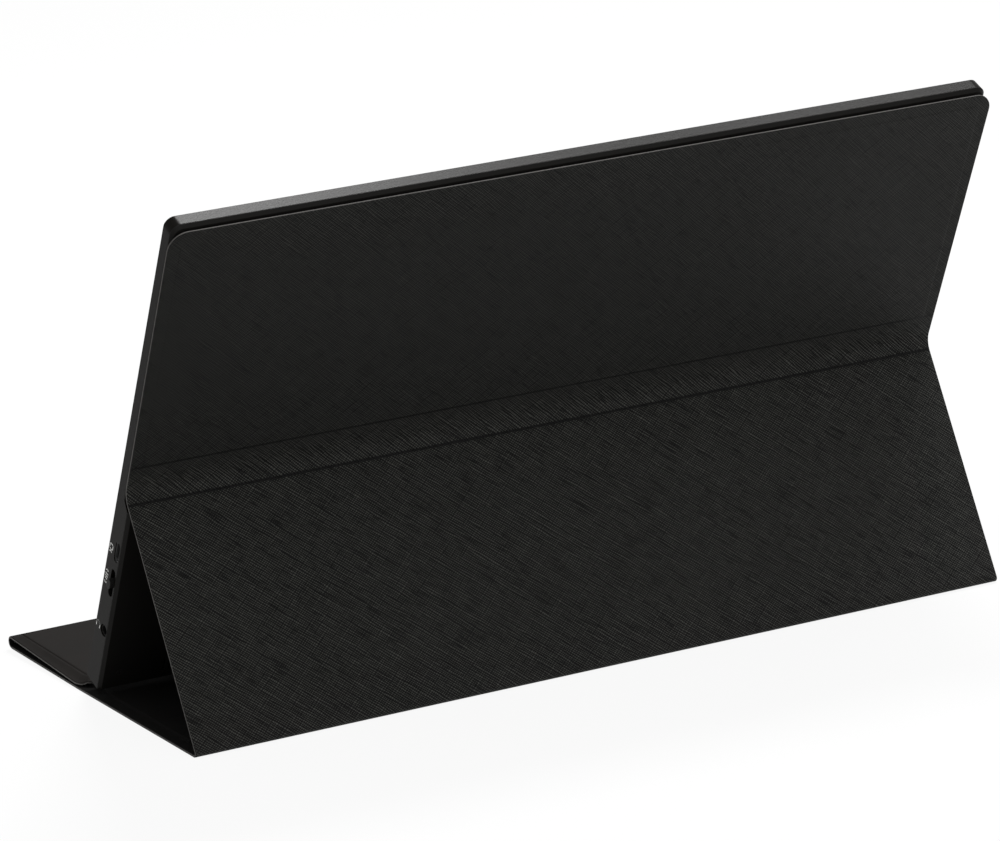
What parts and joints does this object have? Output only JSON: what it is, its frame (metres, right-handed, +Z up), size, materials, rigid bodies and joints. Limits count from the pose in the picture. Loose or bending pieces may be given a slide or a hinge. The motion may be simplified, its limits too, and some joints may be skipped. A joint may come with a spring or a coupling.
{
  "type": "portable monitor with folding cover",
  "caption": "Slim portable monitor held by magnets in a folding leatherette folio cover that bends into a stand, with sockets, a menu rocker and a power button in its sides.",
  "frame": {"origin": "on the table, under the middle of the cover's base", "axes": "+Z up, the screen faces -Y, the earphone socket and the menu switch are on the +X side"},
  "size_m": [0.3596, 0.1618, 0.2049],
  "materials": {
    "outer_skin": "embossed leatherette, satin",
    "lining": "short microfibre nap",
    "board": "plain stiff board",
    "magnet": "nickel plated",
    "housing": "fine satin coat, dark grey",
    "screw": "black oxide",
    "bright_screw": "plated",
    "display": "matte anti-glare glass",
    "film": "translucent film",
    "clear_guide": "clear acrylic",
    "sheet_metal": "bare sheet",
    "steel_strip": "plated steel",
    "circuit": "solder mask",
    "lamp_strip": "white strip with yellow lamps",
    "chip": "moulded",
    "ribbon": "polyimide film",
    "socket_shell": "stamped shell",
    "black_plastic": "moulded",
    "white_plastic": "moulded"
  },
  "bodies": {
    "base": {"base_skin": "outer_skin", "base_lining": "lining", "base_board": "board", "spine_board": "board", "front_fold": "outer_skin", "rear_fold": "outer_skin"},
    "flap": {"flap_skin": "outer_skin", "flap_lining": "lining", "flap_board": "board", "flap_magnets": "magnet"},
    "leg": {"leg_skin": "outer_skin", "leg_lining": "lining", "leg_board": "board", "crease_fold": "outer_skin"},
    "back": {"back_skin": "outer_skin", "back_lining": "lining", "back_board": "board", "back_magnets": "magnet"},
    "monitor": {"front_housing": "housing", "rear_cover": "housing", "rear_screws": "screw", "display_glass": "display", "diffuser_films": "film", "light_guide": "clear_guide", "reflector_sheet": "film", "backlight_tray": "sheet_metal", "panel_frame": "film", "led_bar": "lamp_strip", "panel_board": "circuit", "support_plate": "sheet_metal", "catch_strips": "steel_strip", "controller_board": "circuit", "controller_chips": "chip", "socket_board": "circuit", "board_screws": "bright_screw", "link_ribbon": "ribbon", "display_ribbon": "ribbon", "earphone_socket": "black_plastic", "type_c_right": "socket_shell", "type_c_left": "socket_shell", "video_socket": "socket_shell", "menu_switch_frame": "black_plastic", "power_switch": "white_plastic", "speaker_left": "black_plastic", "speaker_right": "black_plastic"},
    "menu_slider": {"menu_switch_slider": "white_plastic"},
    "menu_rocker": {"menu_lever": "black_plastic"},
    "power_cap": {"power_button": "black_plastic"}
  },
  "joints": [
    {"name": "rear_hinge", "type": "hinge", "parent": "base", "child": "leg", "pos_m": [0, 0.07902, 0.00103], "axis": [-1, 0, 0], "range_deg": [0, 103.3], "deforming": ["rear_fold"]},
    {"name": "crease_hinge", "type": "hinge", "parent": "leg", "child": "back", "pos_m": [0, 0.03236, 0.08974], "axis": [1, 0, 0], "range_deg": [0, 25.05], "deforming": ["crease_fold"]},
    {"name": "front_hinge", "type": "hinge", "parent": "base", "child": "flap", "pos_m": [0, -0.08134, 0.00338], "axis": [1, 0, 0], "range_deg": [0, 181.7], "deforming": ["front_fold"]},
    {"name": "monitor_release", "type": "slide", "parent": "back", "child": "monitor", "axis": [0, -0.9143, 0.4051], "range_m": [0, 0.12]},
    {"name": "menu_press", "type": "slide", "parent": "monitor", "child": "menu_slider", "axis": [-1, 0, 0], "range_m": [0, 0.0003], "stiffness_N_per_m": 2000},
    {"name": "menu_rock", "type": "hinge", "parent": "menu_slider", "child": "menu_rocker", "pos_m": [0.1734, 0.01215, 0.05064], "axis": [0, -0.9143, 0.4051], "range_deg": [-8, 8], "stiffness_Nm_per_rad": 0.07},
    {"name": "power_press", "type": "slide", "parent": "monitor", "child": "power_cap", "axis": [1, 0, 0], "range_m": [0, 0.0003], "stiffness_N_per_m": 2000}
  ],
  "couplings": [
    {"joint": "crease_hinge", "follows": "rear_hinge", "ratio": 0.24201}
  ]
}
